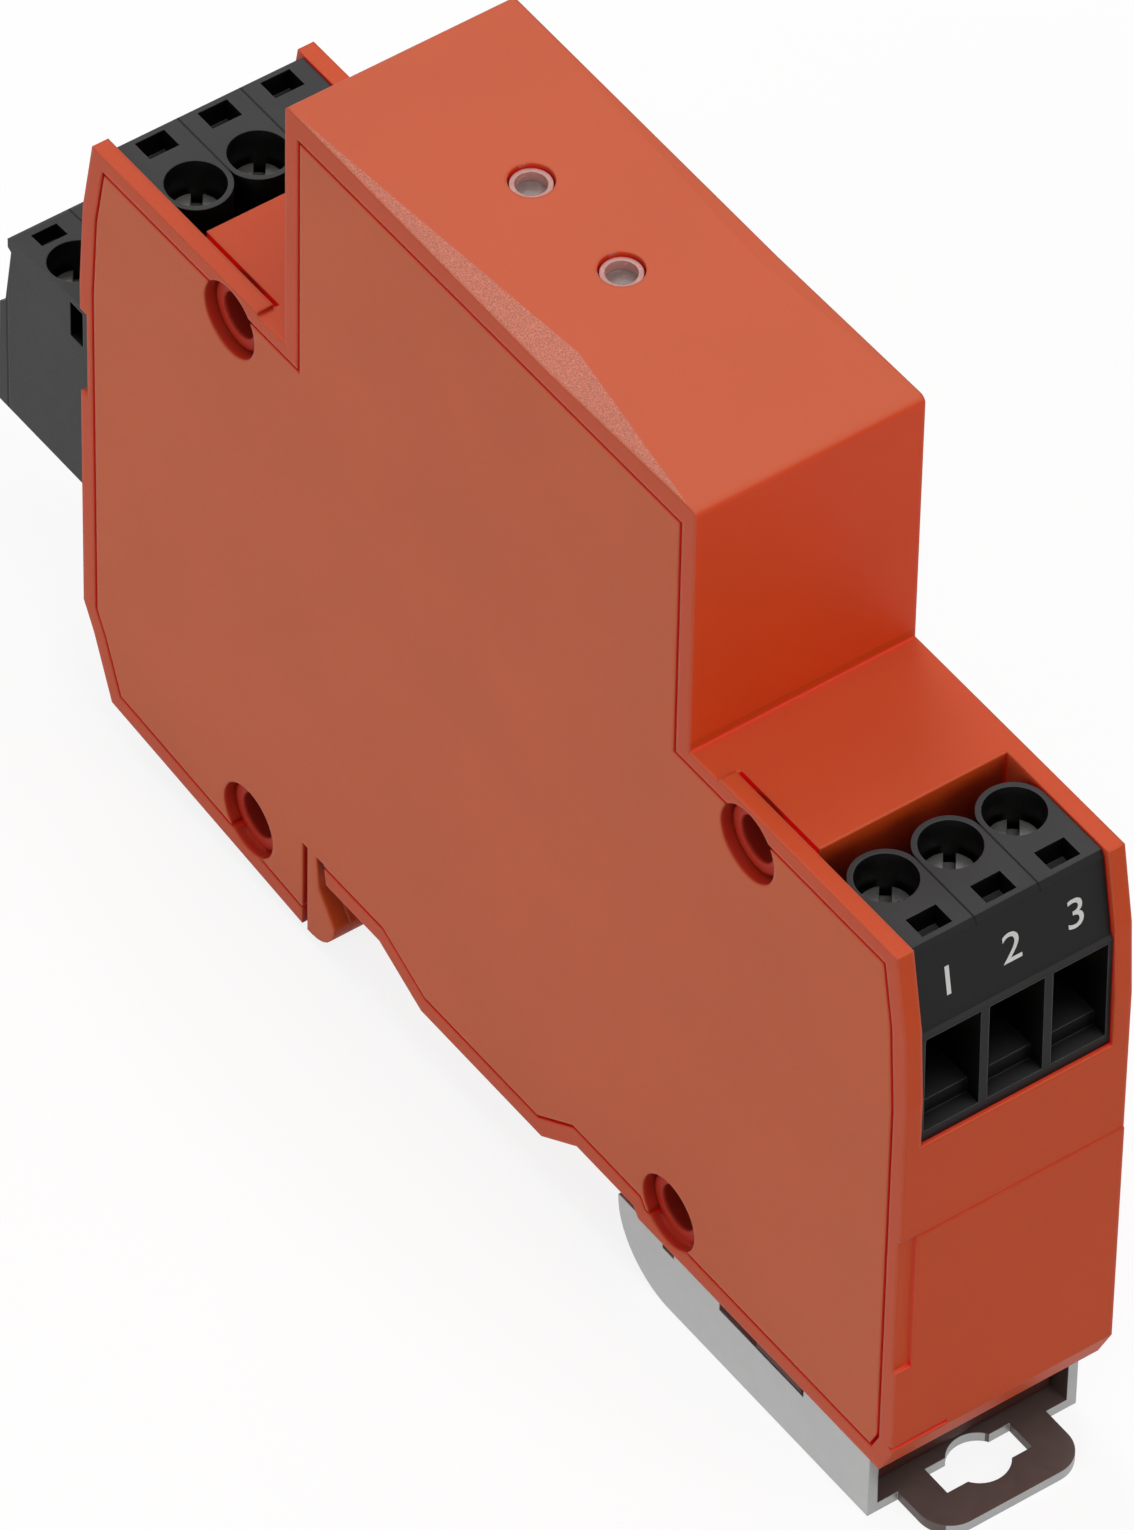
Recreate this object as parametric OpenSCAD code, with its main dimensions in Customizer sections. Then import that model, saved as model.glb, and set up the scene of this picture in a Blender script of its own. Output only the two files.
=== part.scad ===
// One-module surge arrester for a 35 mm rail: case, cover, terminal blocks, signal plug, steel foot.
// X runs across the module, Y along it towards the plug end, Z out of the rail towards the cap.
// The origin lies on the rail's centreline, in the plane of the rail's front face.

/* [Case] */
// Width of the module
module_w = 18; // [17.6:0.1:18.4]
// Length of the raised cap
cap_len = 45; // [43:0.5:47]
// Height of the cap above the rail
cap_h = 69.5; // [66:0.5:74]
// Height of the left side wall at the shoulders
wall_h = 48; // [47:0.5:50]
// Depth of the shoulder plates and of the right side wall below the left side wall
plate_drop = 0.3; // [0.2:0.1:0.8]
// Length of the case at its widest
case_len = 93; // [92:0.5:95]
// Lean of the case's ends inwards, from their widest to their top
end_lean = 1.7; // [1.2:0.1:2.2]
// Thickness of the side wall and of the side cover
side_wall = 1.3; // [1.1:0.1:1.32]
// Thickness of the other outer walls, seen as a rim round the cover
rim_w = 1.4; // [1.3:0.1:1.7]
// Thickness of the cap's top
cap_top_t = 2; // [1.8:0.1:2.4]
// Width of the seat behind the cover's edges
cover_seat = 0.7; // [0.5:0.1:0.9]
// Gap between cover and rim
cover_gap = 0.28; // [0.1:0.02:0.34]
// Rounding of the cap's end edges
cap_round = 0.5; // [0.3:0.1:1.2]
// Greatest width of the facets along the cap's left edge
scoop_w = 2.3; // [1:0.1:2.6]
// Greatest drop of the facets down the left side
scoop_drop = 0.5; // [0.3:0.1:1]
// Greatest width of the smaller facets along the cap's right edge
right_scoop_w = 1.4; // [0.8:0.1:2]
// Greatest drop of the smaller facets down the right side
right_scoop_drop = 0.3; // [0.2:0.1:0.6]
// Place of the facets' widest point along the case
scoop_y = -6.7; // [-12:0.1:4]

/* [Side bosses] */
// Outer diameter of the tubular bosses
boss_d = 5.2; // [4.8:0.1:5.4]
// Diameter of the cover's holes round the bosses
boss_hole_d = 5.8; // [5.6:0.1:6]
// Depth of the boss ends below the cover
boss_sunk = 0.8; // [0.5:0.1:1]
// Bore of the bosses
boss_bore_d = 3.5; // [3:0.1:3.8]

/* [Rail seat] */
// Width of the rail that the seat takes
rail_w = 35; // [34.8:0.1:35.4]
// Thickness of the rail's lips
lip_t = 1; // [0.9:0.1:1.2]
// Depth of the case's belly inside the rail's channel
belly_drop = 2.6; // [2:0.1:3]
// Depth of the plug end's base below the rail plane, at the hook
rear_drop = 6.2; // [5.5:0.1:6.8]
// Depth of the foot end's base below the rail plane
near_drop = 0.8; // [0.5:0.1:0.9]
// Thickness of the hook's tongue
hook_t = 1; // [0.8:0.1:1.2]
// Reach of the hook under the rail's lip
hook_bite = 0.85; // [0.6:0.05:1.1]

/* [Terminal blocks] */
// Distance between poles
pitch = 5.08; // [5:0.01:5.08]
// Height of a block
block_h = 16.6; // [16.4:0.1:17]
// Depth of the block's top below the side walls
block_sunk = 0.5; // [0.3:0.1:1]
// Distance of the screws from the ends of the case
screw_off = 8.1; // [7.9:0.1:8.4]
// Diameter of the screwdriver holes
hole_d = 4.3; // [4.2:0.05:4.4]
// Diameter of the screw heads
head_d = 3.7; // [3.4:0.1:3.7]
// Depth of the screw heads below the block's top
head_sunk = 2.7; // [2.4:0.1:2.9]
// Diameter of the screw shanks
shank_d = 2.5; // [2.2:0.1:2.6]
// Turn of the screws' slots from the case's length
slot_turn = 37; // [0:1:180]
// Width of a clamp cage
cage_w = 4.1; // [3.9:0.05:4.15]
// Height of a clamp cage
cage_h = 5.6; // [5.4:0.1:5.8]
// Travel of a clamp cage
clamp_travel = 2; // [1.5:0.1:2.1]
// Thickness of the current bars
bar_t = 0.8; // [0.6:0.1:0.9]

/* [Signal plug] */
// Distance of the plug's screws outside the end of the case
plug_screw_off = 6; // [5.5:0.1:7]
// Depth of the plug's top at its screws below the side walls
plug_sunk = 19.1; // [19:0.1:19.3]
// Height of the plug at its screws
plug_h = 16.9; // [16.6:0.1:17.2]
// Width of the plug
plug_w = 15; // [14.6:0.1:15.2]
// Length of the plug's nose inside the header
nose_len = 11.9; // [11:0.1:12.4]
// Thickness of the header's shroud
shroud_t = 0.6; // [0.5:0.05:0.7]
// Side of the header's square pins
pin_w = 1; // [0.8:0.1:1.1]

/* [Foot] */
// Width of the foot across its flanges
foot_w = 17.2; // [17:0.1:17.5]
// Thickness of the foot's sheet
foot_t = 0.8; // [0.6:0.1:1]
// Depth of the foot's underside below the rail plane
foot_drop = 7.2; // [6.8:0.1:7.4]
// Reach of the foot under the rail's lip
foot_bite = 1.9; // [1.5:0.1:2.2]
// Travel of the foot when it is pulled
foot_travel = 4; // [3:0.5:4.5]
// Width of the pull tab
tab_w = 12.2; // [11:0.1:13]
// Length of the pull tab
tab_len = 4.8; // [4.5:0.1:5.2]
// Length of the screwdriver eye
eye_len = 7; // [6:0.1:8]
// Width of the screwdriver eye
eye_w = 2.5; // [2.2:0.1:3]
// Diameter of the round bulge in the eye
eye_d = 4.4; // [4:0.1:4.6]
// Diameter of the spring's coils
spring_d = 3.4; // [3:0.1:3.6]

/* [Lamps and board] */
// Diameter of the lamp windows
window_d = 3.2; // [3:0.1:3.5]
// Depth of the light pipes below the cap's top
pipe_sunk = 0.35; // [0.2:0.05:1]
// Distance between the lamp windows
lamp_pitch = 9.9; // [9:0.1:11]
// Place of the lamp windows' middle along the case
lamp_y = 2.85; // [0:0.05:4]
// Thickness of the circuit board
board_t = 1.6; // [1.2:0.1:1.8]
// Diameter of the varistor discs
varistor_d = 14; // [12:0.5:15]
// Thickness of the varistor discs
varistor_t = 4.6; // [3.5:0.1:6]
// Diameter of the gas tube
tube_d = 8; // [6:0.5:8.5]
// Length of the gas tube
tube_len = 6; // [5:0.5:7]
// Diameter of the thermal fuse
fuse_d = 4; // [3:0.1:4.4]
// Length of the thermal fuse
fuse_len = 8; // [6:0.5:9]
// Length of the relay along the case
relay_len = 11; // [9:0.5:13]
// Height of the relay along the board
relay_h = 9.5; // [8:0.5:10]
// Stand of the relay off the board
relay_t = 8; // [6:0.5:9]

/* [Hidden] */
$fn = 48;

// Colours
orange = [0.80, 0.33, 0.20];
cover_orange = [0.69, 0.36, 0.26];
black_plastic = [0.16, 0.16, 0.16];
zinc = [0.74, 0.74, 0.73];
nickel = [0.70, 0.70, 0.68];
brass = [0.78, 0.62, 0.32];
clear = [0.82, 0.82, 0.84, 0.6];
board_green = [0.10, 0.36, 0.20];
ceramic_blue = [0.16, 0.30, 0.62];
relay_black = [0.10, 0.10, 0.11];

// Clearances
slide_gap = 0.15;      // between flat sliding faces
turn_gap = 0.3;        // between round faces that turn
seat_gap = 0.08;       // round pieces that drop into a seat
over = 1;              // how far a cut runs past the face it opens

// Case
half_w = module_w / 2;
in_half = half_w - side_wall;
cap_half = cap_len / 2;
cap_under = cap_h - cap_top_t;
inner_t = rim_w + cover_seat;          // walls behind the cover
end_half = case_len / 2;
top_half = end_half - end_lean;
rail_half = rail_w / 2;
plate_z = wall_h - plate_drop;
strip_y = cap_half + 3.2;              // where the raised left strips begin
groove_w = 0.5;                        // groove between strip and plate
groove_t = 0.5;
panel_sunk = 0.08;                     // steps in the near end face
strip_sunk = 0.3;

// Hook
hook_slot = 0.9;                       // gap on the rail side of the tongue
hook_slit = 0.6;                       // gap behind the tongue
hook_rise = 1.8;                       // how far both gaps cut into the case
hook_in = rail_half + 0.4 + hook_slot; // tongue's face on the rail side
hook_out = hook_in + hook_t;
rear_foot = hook_out + hook_slit;      // face of the plug end's base
rear_rise = 2.2;                       // rise of the plug end's base
toe_r = 2.6;                           // rounding of the hook's toe
toe = [rail_half - hook_bite + toe_r, -rear_drop - 0.1 + toe_r];

// Terminal blocks
block_half = 1.5 * pitch;
screw_y = end_half - screw_off;
block_top = wall_h - block_sunk;
pocket_floor = block_top - block_h;
pocket_y = screw_y - 4.3;              // edge of the shoulder plate
pocket_wall = 1;
face_v = 7.7;                          // wire face, measured from the screws
lip_z = -7;                            // foot of the slanted label face, from the block's top
chamber_w = cage_w + 2 * slide_gap;
cage_l = 4.6;
cage_floor_t = 1;
cage_top_t = 1.2;
cage_side_t = 0.45;
head_h = 2.3;
head_z = -head_sunk - head_h;          // seat of the screw head
neck_t = 2.2;                          // plastic below the head
chamber_top = head_z - neck_t;
cage_z = chamber_top - 0.7 - clamp_travel - cage_h; // underside of the open cage
chamber_floor = cage_z - 0.2;
ledge_z = cage_z + cage_floor_t + 0.1;   // ledge inside a wire mouth
mouth_t = 1.3;                         // depth of the mouth in front of the ledge
block_slot = [2.4, 1.8];               // square pockets in the blocks' tops
plug_slot = [2.1, 1.4];                // square pockets in the plug's top
slot_t = 1.8;                          // depth of these pockets
bar_top = cage_z + cage_h - cage_top_t - 0.2;
bar_w = 2.6;
shank_end = bar_top + 0.1;
back_v = -(cage_l / 2 + slide_gap + 0.5);
tail_w = 0.8;                          // bent ends of the current bars
tail_off = 2.4;
tail_step = 1.9;

// Signal plug
plug_screw_y = end_half + plug_screw_off;
plug_top = wall_h - plug_sunk;         // at the screws
plug_z0 = plug_top - plug_h;           // underside
plug_rise = 0.4;                       // top is higher at the case than at the screws
plug_body_v = end_half + 0.4 - plug_screw_y;
plug_face_v = 6.3;
nose_half = plug_w / 2 - 0.7;
nose_z = [plug_z0 + 0.4, plug_top - 0.5];
nose_end_y = plug_screw_y + plug_body_v - nose_len;
pin_z = plug_top + bar_top - bar_t / 2;
header_y = [nose_end_y - 3.5, end_half - rim_w - 0.1];
header_z = [nose_z[0] - slide_gap - shroud_t, pocket_floor - pocket_wall];
pin_reach = 8;                         // of the pins into the nose
pin_end_y = nose_end_y + pin_reach;
pin_off = 1.4;
pin_step = 1.8;
socket_half = 1.1;
socket_gap = 0.1;
socket_sunk = 0.8;                     // below the end of the nose

// Foot
foot_half = foot_w / 2;
foot_in = foot_half - foot_t;
foot_top = -lip_t - 0.25;
foot_base = -foot_drop;
foot_tip_y = -rail_half + foot_bite;
foot_nose_r = foot_top - foot_base;
foot_front_y = -end_half + 2.8;
keel_half = foot_in - slide_gap - 0.1;
keel_y = [foot_front_y + 1.5, foot_tip_y - 7];
keel_z = foot_base + foot_t + 0.25;
guide_z = (foot_top + keel_z) / 2;     // middle of the guide ribs
guide_h = 0.8;
guide_reach = 0.7;
stop_len = 5;                          // length of the case's stop lugs
stop_y = foot_tip_y - 20.6;            // near end of the stop lugs
notch_y = [stop_y - 0.2, stop_y + stop_len + foot_travel + 0.2];
notch_drop = 1;
spring_tab_y = keel_y[1] - 1.9;        // spring face of the foot's bent-up tab
spring_y = [keel_y[0] + 2, spring_tab_y];
spring_wire = 0.5;
spring_z = foot_base + foot_t + 0.3 + spring_d / 2;
spring_turns = 8;

// Lamps, board and the parts on it
lamp_places = [lamp_y + lamp_pitch / 2, lamp_y - lamp_pitch / 2];
pipe_d = window_d - 2 * slide_gap;
pipe_flange_d = window_d + 1.4;
pipe_len = 6.7;
dish_d = pipe_d - 0.7;                 // hollow in the pipe's end
dish_t = 0.9;
led_d = 3;
led_h = 4.2;
pipe_top = cap_h - pipe_sunk;
led_top = pipe_top - pipe_len - 0.4;
board_x = in_half - 0.5 - board_t;     // face that carries the parts
board_half = header_y[0];
board_edge = 1.5;                      // bare margin of the board
board_z = [8, wall_h - 7];
board_cap_half = cap_half - 3.5;
board_cap_top = cap_h - 5.5;

// The four bosses: a pair under the shoulders, one in each base
bosses = [
    [cap_half + 6.4, wall_h - 3.3],
    [-cap_half - 6.4, wall_h - 3.3],
    [rear_foot + 6.4, -rear_drop + 4.6],
    [-rail_half - 4.2, -near_drop + 3.6]
];

// Outline of the case without its hook, as Y and Z from the near base, with its cap at top
function case_line(top) = [
    [-end_half + 1.3, -near_drop],
    [-rail_half - 0.9, -near_drop],
    [-rail_half - 0.3, 0],
    [-rail_half + 6.1, 0],
    [-rail_half + 10.1, -belly_drop],
    [rail_half - 11, -belly_drop],
    [rail_half - 6.1, 0],
    [rail_half + 0.1, 0],
    [rail_half + 0.4, hook_rise],
    [rear_foot, hook_rise],
    [rear_foot, -rear_drop],
    [end_half - 3.3, -rear_drop + rear_rise],
    [end_half - 1.2, 1.2],
    [end_half, 3.4],
    [end_half, wall_h - 14],
    [end_half - 0.5, wall_h - 6.5],
    [top_half, wall_h],
    [cap_half, wall_h],
    [cap_half, top],
    [-cap_half, top],
    [-cap_half, wall_h],
    [-top_half, wall_h],
    [-end_half + 0.5, wall_h - 6.5],
    [-end_half, wall_h - 14],
    [-end_half, 2]
];

// Tongue of the hook: straight shank, barb under the rail's lip, round toe
hook_pts = [
    [hook_out, hook_rise + 0.1],
    [hook_in, hook_rise + 0.1],
    [hook_in - 0.3, -lip_t - 0.2],
    for (a = [180 : 15 : 270])
        toe + toe_r * [cos(a), sin(a)],
    [hook_out, toe[1] - toe_r]
];

// Where the cover reaches past its rim to the edges of the hook's gaps, d inside the base and the seat
rear_slope = rear_rise / (end_half - 3.3 - rear_foot);
function hook_patch(d) = [
    [rear_foot - 0.5, d],
    [rear_foot - 0.5, -rear_drop - 0.5 * rear_slope + d],
    [rear_foot + 3, -rear_drop + 3 * rear_slope + d],
    [rear_foot + 3, hook_rise + 3],
    [rail_half - 1.5, hook_rise + 3],
    [rail_half - 1.5, d]
];

// Unit vector, and the normal on the left of an edge
function unit(v) = v / norm(v);
function inward(a, b) = let (u = unit(b - a)) [-u[1], u[0]];

// Outline moved inwards by d, with its corners kept sharp
function inset(pts, d) = [
    for (i = [0 : len(pts) - 1])
        let (
            before = pts[(i + len(pts) - 1) % len(pts)],
            after = pts[(i + 1) % len(pts)],
            n1 = inward(before, pts[i]),
            n2 = inward(pts[i], after)
        )
        pts[i] + d / (1 + n1 * n2) * (n1 + n2)
];

// Solid between two values of X from an outline drawn in Y and Z
module across(x0, x1) {
    translate([x0, 0, 0])
        rotate([90, 0, 90])
            linear_extrude(x1 - x0)
                children();
}

// Box from its ranges in X, Y and Z
module span(x, y, z) {
    translate([x[0], y[0], z[0]])
        cube([x[1] - x[0], y[1] - y[0], z[1] - z[0]]);
}

// Rod along X between two values of X, at a place in Y and Z
module rod(x, place, d) {
    translate([x[0], place[0], place[1]])
        rotate([0, 90, 0])
            cylinder(d = d, h = x[1] - x[0]);
}

// Children turned to the near end of the case, or left at the plug end
module at_end(end) {
    if (end < 0)
        mirror([0, 1, 0])
            children();
    else
        children();
}

// Children put into a terminal block's own frame: screws at Y 0, top at Z 0, wire side along Y
module at_block(end) {
    at_end(end)
        translate([0, screw_y, block_top])
            children();
}

module at_plug() {
    translate([0, plug_screw_y, plug_top])
        children();
}

// Pole numbers 1 to 3 run from the left face of the case
function pole_x(number) = (number - 2) * pitch;

// Case

module case_outline() {
    difference() {
        polygon(case_line(cap_h));
        for (end = [-1, 1])
            translate([end * (cap_half - cap_round), cap_h - cap_round])
                difference() {
                    translate([end < 0 ? -2 * cap_round : 0, 0])
                        square(2 * cap_round);
                    circle(cap_round);
                }
    }
}

// Shallow facets along the cap's left edge, deepest at scoop_y and running out at both corners
module edge_scoop(width, drop) {
    tilt = atan(drop / width);
    depth = width * sin(tilt);
    run = cap_half - cap_round - 0.2;
    translate([-half_w, 0, cap_h])
        rotate([0, 90 - tilt, 0])
            linear_extrude(4 * width, center = true)
                polygon([[-over, -run], [0, -run], [depth, scoop_y], [0, run], [-over, run]]);
}

// Back wall and floor of a terminal pocket, with slots for the current bars
module pocket_walls(end) {
    at_end(end)
        difference() {
            union() {
                span([-in_half, in_half + 0.1], [pocket_y - pocket_wall, pocket_y],
                     [pocket_floor - pocket_wall, wall_h - rim_w + 0.1]);
                span([-in_half, in_half + 0.1], [pocket_y - pocket_wall, end_half - rim_w + 0.2],
                     [pocket_floor - pocket_wall, pocket_floor]);
            }
            for (number = [1 : 3])
                translate([pole_x(number), 0, block_top])
                    span([-bar_w / 2 - 0.1, bar_w / 2 + 0.1], [pocket_y - 2 * pocket_wall, pocket_y + over],
                         [bar_top - bar_t - 0.1, bar_top + 0.1]);
        }
}

// Keel that guides the foot: grooves along its sides, a trough for the spring
module keel() {
    difference() {
        span([-keel_half, keel_half], keel_y, [keel_z, -near_drop + 0.3]);
        for (side = [-1, 1])
            span(side < 0 ? [-keel_half - over, -keel_half + guide_reach]
                          : [keel_half - guide_reach, keel_half + over],
                 [keel_y[0] - over, keel_y[1] + over],
                 [guide_z - guide_h / 2 - 0.3, guide_z + guide_h / 2 + 0.3]);
        span([-spring_d / 2 - 0.4, spring_d / 2 + 0.4], [spring_y[0], keel_y[1] + over],
             [keel_z - over, spring_z + spring_d / 2 + 0.4]);
    }
}

// Lugs under the rim that stop the foot at both ends of its travel
module stop_lugs() {
    for (side = [-1, 1])
        span(side < 0 ? [-foot_half, -foot_in] : [foot_in, foot_half],
             [stop_y, stop_y + stop_len], [foot_top - notch_drop + 0.3, -near_drop + 0.3]);
}

module board_pads() {
    for (y = [-board_half + 6, board_half - 8], z = [board_z[0] + 3, board_z[1] - 6])
        rod([board_x + board_t, in_half + 0.1], [y, z], 4);
}

// Shoulder plates flush with the right wall: right across beside the cap, then up to a groove
// along the raised strip on the left
module shoulder_cut(end) {
    at_end(end) {
        span([-half_w - over, half_w + over], [cap_half, strip_y], [plate_z, wall_h + over]);
        span([-in_half, half_w + over], [strip_y - over, end_half + over], [plate_z, wall_h + over]);
        span([-in_half, groove_w - in_half], [strip_y, pocket_y + over], [plate_z - groove_t, wall_h + over]);
    }
}

module housing_shell() {
    color(orange)
        difference() {
            union() {
                difference() {
                    across(-half_w, half_w)
                        case_outline();
                    across(-half_w - over, -in_half)
                        polygon(inset(case_line(cap_under + rim_w), rim_w));
                    across(-in_half - 0.1, in_half)
                        polygon(inset(case_line(cap_under + inner_t), inner_t));
                    across(-half_w - over, -in_half)
                        polygon(hook_patch(rim_w));
                }
                across(-in_half, half_w)
                    polygon(hook_pts);
                pocket_walls(-1);
                pocket_walls(1);
                for (place = bosses)
                    rod([-half_w + boss_sunk, in_half + 0.1], place, boss_d);
                keel();
                stop_lugs();
                board_pads();
            }
            for (end = [-1, 1]) {
                at_end(end)
                    span([-in_half, in_half], [pocket_y, end_half + over], [pocket_floor, wall_h + over]);
                shoulder_cut(end);
            }
            span([-in_half, in_half], [end_half - inner_t - over, end_half + over], header_z);
            for (place = bosses) {
                rod([-half_w - over, -half_w + boss_sunk], place, boss_hole_d);
                rod([-half_w, in_half - 2], place, boss_bore_d);
            }
            for (y = lamp_places)
                translate([0, y, cap_under - over])
                    cylinder(d = window_d, h = cap_top_t + 2 * over);
            edge_scoop(scoop_w, scoop_drop);
            mirror([1, 0, 0])
                edge_scoop(right_scoop_w, right_scoop_drop);
            front_panel_lines();
            span([-half_w - over, -in_half], [end_half - 0.8, end_half + over],
                 [wall_h - 24.3, wall_h - 16.5]);
        }
}

// Fine steps of the near end face: a sunk upper panel, a sunk corner strip and a slit above the base
module front_panel_lines() {
    x = [-half_w - over, half_w + over];
    high = wall_h - 25.7;
    low = wall_h - 38.2;
    span(x, [-end_half - over, -end_half + panel_sunk], [high, wall_h + over]);
    span([x[0], -in_half], [-end_half - over, -end_half + strip_sunk], [low, high + 0.2]);
    span([x[0], -half_w / 2], [-end_half - over, -end_half + strip_sunk], [2.2, 2.5]);
}

module side_cover() {
    color(cover_orange)
        difference() {
            across(-half_w, -in_half) {
                polygon(inset(case_line(cap_under + rim_w), rim_w + cover_gap));
                intersection() {
                    polygon(case_line(cap_under + rim_w));
                    polygon(hook_patch(rim_w + cover_gap));
                }
                polygon(hook_pts);
            }
            for (place = bosses)
                rod([-half_w - over, half_w], place, boss_hole_d);
        }
}

// Terminal blocks

// Outline of a terminal block as Y and Z in its own frame, with its slanted label face
block_pts = [
    [back_v, -block_h],
    [face_v, -block_h],
    [face_v - 0.2, lip_z],
    [face_v - 0.45, lip_z + 0.3],
    [face_v - 1.6, -0.5],
    [face_v - 1.9, 0],
    [0, 0],
    [0, head_z - 0.6],
    [back_v, head_z - 0.6]
];

// What one pole cuts out of a block or of the plug: driver hole, screw seat, clamp chamber,
// wire mouth and square pocket
module pole_cuts(face, slot_v, slot) {
    translate([0, 0, head_z])
        cylinder(d = hole_d, h = head_sunk + head_h + over);
    translate([0, 0, chamber_top - 0.1])
        cylinder(d = shank_d + 2 * turn_gap, h = neck_t + 0.2);
    x = [-chamber_w / 2, chamber_w / 2];
    cage_v = cage_l / 2 + slide_gap;
    span(x, [-cage_v, cage_v], [chamber_floor, chamber_top]);
    span(x, [cage_v - over, face + over], [ledge_z, chamber_top]);
    span(x, [face - mouth_t, face + over], [chamber_floor, chamber_top]);
    span([-slot[0] / 2, slot[0] / 2], [slot_v - slot[1] / 2, slot_v + slot[1] / 2], [-slot_t, 2 * over]);
    span([-bar_w / 2 - 0.1, bar_w / 2 + 0.1], [back_v - over, 0], [bar_top - bar_t - 0.1, bar_top + 0.1]);
}

module terminal_block(end) {
    color(black_plastic)
        at_block(end)
            difference() {
                union() {
                    across(-block_half, block_half)
                        polygon(block_pts);
                    for (number = [1 : 3])
                        translate([pole_x(number), 0, head_z - 0.6])
                            cylinder(d = pitch, h = -head_z + 0.6);
                }
                for (number = [1 : 3])
                    translate([pole_x(number), 0, 0])
                        pole_cuts(face_v, 4.5, block_slot);
            }
}

// Slotted clamp screw in a block's frame, with its slot turned the same way at both ends
module clamp_screw(end = 1) {
    color(nickel)
        difference() {
            union() {
                translate([0, 0, head_z])
                    cylinder(d = head_d, h = head_h);
                translate([0, 0, shank_end])
                    cylinder(d = shank_d, h = head_z - shank_end + 0.1);
            }
            rotate(-end * slot_turn)
                span([-0.4, 0.4], [-head_d, head_d], [-head_sunk - 0.9, -head_sunk + over]);
        }
}

// Clamp cage in a block's frame, open: a folded frame with a threaded top
module clamp_cage() {
    inner = cage_w / 2 - cage_side_t;
    color(zinc)
        difference() {
            span([-cage_w / 2, cage_w / 2], [-cage_l / 2, cage_l / 2], [cage_z, cage_z + cage_h]);
            span([-inner, inner], [-cage_l, cage_l], [cage_z + cage_floor_t, cage_z + cage_h - cage_top_t]);
            translate([0, 0, cage_z + cage_h - cage_top_t - over])
                cylinder(d = shank_d + 2 * turn_gap, h = cage_top_t + 2 * over);
        }
}

// Current bars of a block: through the pocket wall, then across to the board at staggered places
module contacts(end) {
    color(brass)
        at_end(end)
            for (number = [1 : 3]) {
                y = pocket_y - pocket_wall - tail_off - (3 - number) * tail_step;
                z = [block_top + bar_top - bar_t, block_top + bar_top];
                left = pole_x(number) - bar_w / 2;
                span([left, left + bar_w], [pocket_y - pocket_wall, screw_y + 4], z);
                span([left, min(left + bar_w, board_x)], [y, pocket_y], z);
                span([left, board_x], [y, y + tail_w], z);
            }
}

// Signal plug

// Outline of the plug outside the case, as Y and Z in its own frame
plug_pts = [
    [plug_body_v, -plug_h],
    [plug_face_v, -plug_h],
    [plug_face_v - 0.3, -7.3],
    [plug_face_v - 1, -6.7],
    [plug_face_v - 1.8, -1.5],
    [plug_face_v - 1.4, -1.3],
    [plug_face_v - 1.4, -0.5],
    [plug_face_v - 1.7, -0.4],
    [plug_body_v, plug_rise]
];

module plug_body() {
    half = plug_w / 2;
    socket_hole = socket_half + socket_gap;
    color(black_plastic)
        difference() {
            union() {
                at_plug()
                    across(-half, half)
                        polygon(plug_pts);
                span([-nose_half, nose_half], [nose_end_y, plug_screw_y + plug_body_v + 0.1], nose_z);
            }
            for (number = [1 : 3]) {
                translate([pole_x(number), plug_screw_y, plug_top])
                    pole_cuts(plug_face_v, 3.4, plug_slot);
                translate([pole_x(number), 0, pin_z])
                    span([-socket_hole, socket_hole], [nose_end_y - over, plug_screw_y + back_v + 0.1],
                         [-socket_hole, socket_hole]);
            }
            at_plug()
                span([-half - over, -half + 1], [plug_body_v + 1.5, plug_body_v + 3], [-3.6, -0.4]);
        }
}

// Sockets in the plug's nose, with a bar into each clamp
module plug_contacts() {
    pin_hole = pin_w / 2 + slide_gap;
    color(brass)
        for (number = [1 : 3])
            translate([pole_x(number), plug_screw_y, 0])
                difference() {
                    union() {
                        span([-socket_half, socket_half], [nose_end_y - plug_screw_y + socket_sunk, back_v],
                             [pin_z - socket_half, pin_z + socket_half]);
                        span([-bar_w / 2 + 0.2, bar_w / 2 - 0.2], [back_v - 0.1, 3.2],
                             [pin_z - bar_t / 2, pin_z + bar_t / 2]);
                    }
                    span([-pin_hole, pin_hole], [-nose_len - plug_screw_off, pin_end_y + 0.6 - plug_screw_y],
                         [pin_z - pin_hole, pin_z + pin_hole]);
                }
}

// Fixed half of the connector: a shroud round the plug's nose
module signal_header() {
    half = nose_half + slide_gap + shroud_t;
    color(black_plastic)
        difference() {
            span([-half, half], header_y, header_z);
            span([-nose_half - slide_gap, nose_half + slide_gap], [nose_end_y - 0.6, end_half],
                 [nose_z[0] - slide_gap, nose_z[1] + slide_gap]);
            for (number = [1 : 3])
                translate([pole_x(number), 0, pin_z])
                    span([-pin_w / 2, pin_w / 2], [header_y[0] - over, end_half], [-pin_w / 2, pin_w / 2]);
        }
}

// Square pins through the header's back, bent across to the board
module header_pins() {
    color(brass)
        for (number = [1 : 3]) {
            y = header_y[0] - pin_off - (3 - number) * pin_step;
            z = [pin_z - pin_w / 2, pin_z + pin_w / 2];
            span([pole_x(number) - pin_w / 2, pole_x(number) + pin_w / 2], [y, pin_end_y], z);
            span([pole_x(number) - pin_w / 2, board_x], [y, y + pin_w], z);
        }
}

// Foot

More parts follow.
